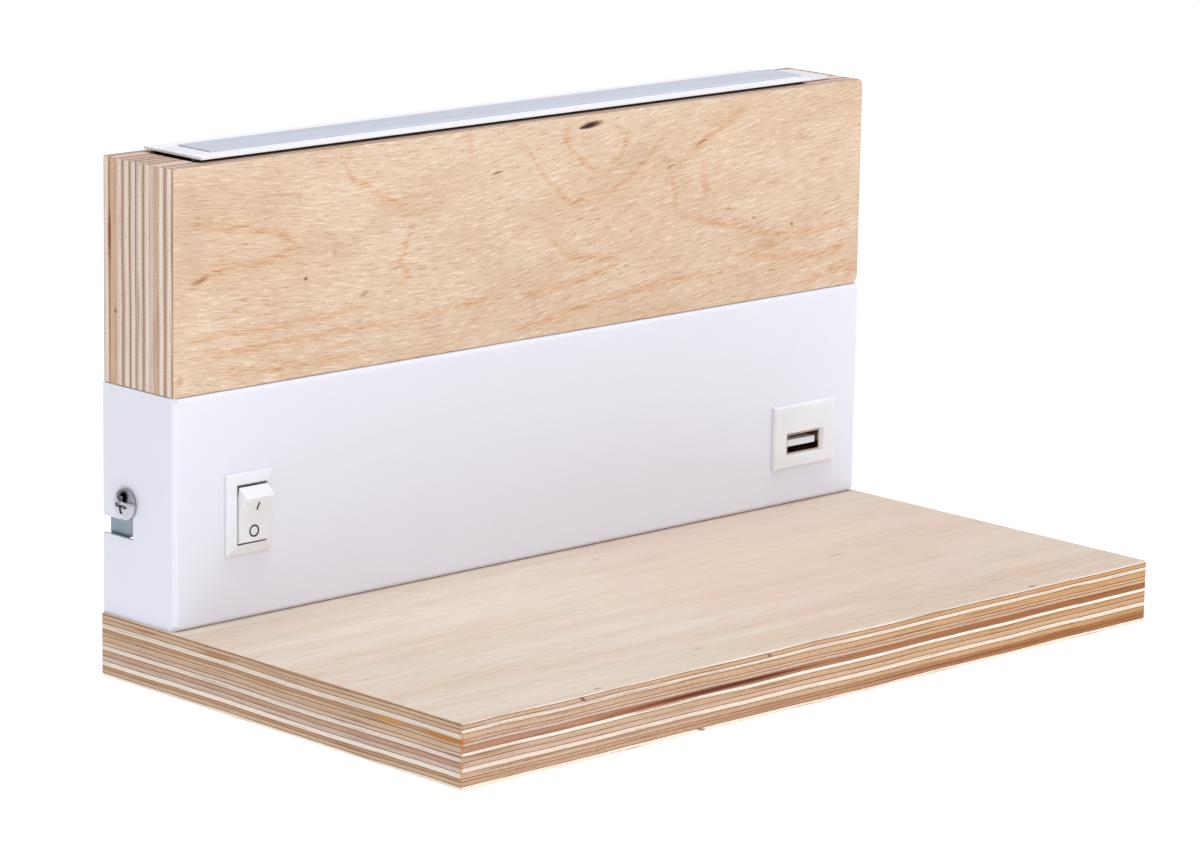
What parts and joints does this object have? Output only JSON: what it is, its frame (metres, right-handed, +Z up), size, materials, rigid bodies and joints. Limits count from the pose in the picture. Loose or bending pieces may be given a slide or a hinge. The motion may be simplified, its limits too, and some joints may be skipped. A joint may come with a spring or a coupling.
{
  "type": "wall lamp with shelf",
  "caption": "Wall lamp: plywood block with a recessed LED profile in its top, white steel housing with rocker switch and USB port, and a plywood shelf, hooked on a wall bracket.",
  "frame": {"origin": "centre of the wall bracket's two wall holes, on the wall plane", "axes": "+X along the lamp to the right as seen from the room, +Y into the wall, +Z up"},
  "size_m": [0.2548, 0.138, 0.1378],
  "materials": {
    "powder_coated_steel": "white powder coat, satin",
    "galvanised_steel": "zinc plated strip",
    "chrome_screw": "polished",
    "zinc_screw": "bright zinc",
    "birch_plywood": "sanded, clear matt varnish",
    "white_plastic": "moulded",
    "mark_ink": "pad printed",
    "brass": "bright",
    "nickel_shell": "nickel plated",
    "circuit_board": "green solder mask",
    "board_parts": "black",
    "white_profile": "white powder coat",
    "frosted_cover": "frosted polycarbonate",
    "profile_plug": "moulded",
    "strip_board": "white solder mask",
    "led_chip": "phosphor under clear resin",
    "driver_case": "moulded",
    "terminal_nylon": "natural nylon",
    "grommet_rubber": "matt",
    "mains_insulation": "brown and blue PVC",
    "earth_insulation": "green and yellow PVC",
    "low_voltage_insulation": "red and black PVC"
  },
  "bodies": {
    "bracket": {"wall_bracket": "galvanised_steel", "hook_screws": "chrome_screw"},
    "lamp": {"housing": "powder_coated_steel", "shelf_board": "birch_plywood", "wood_block": "birch_plywood", "block_screws": "zinc_screw", "shelf_screws": "zinc_screw", "switch_case": "white_plastic", "switch_terminals": "brass", "usb_plate": "white_plastic", "usb_shell": "nickel_shell", "usb_tongue": "white_plastic", "usb_contacts": "brass", "usb_board": "circuit_board", "usb_board_parts": "board_parts", "led_profile": "white_profile", "led_diffuser": "frosted_cover", "profile_plug_left": "profile_plug", "profile_plug_right": "profile_plug", "led_strip": "strip_board", "led_chips": "led_chip", "led_driver": "driver_case", "driver_screws": "zinc_screw", "terminal_block": "terminal_nylon", "terminal_clamps": "brass", "terminal_screws": "zinc_screw", "terminal_fixing_screw": "zinc_screw", "earth_stud": "zinc_screw", "earth_tag": "brass", "earth_nut": "zinc_screw", "lead_grommet": "grommet_rubber", "mains_leads": "mains_insulation", "earth_lead": "earth_insulation", "usb_leads": "low_voltage_insulation", "switch_lead": "low_voltage_insulation", "strip_leads": "low_voltage_insulation"},
    "rocker": {"switch_rocker": "white_plastic", "rocker_marks": "mark_ink"}
  },
  "joints": [
    {"name": "lift_off", "type": "slide", "parent": "bracket", "child": "lamp", "axis": [0, 0, 1], "range_m": [0, 0.0068]},
    {"name": "rocker_tilt", "type": "hinge", "parent": "lamp", "child": "rocker", "pos_m": [-0.1013, -0.028, -0.00205], "axis": [-1, 0, 0], "range_deg": [0, 26]}
  ]
}
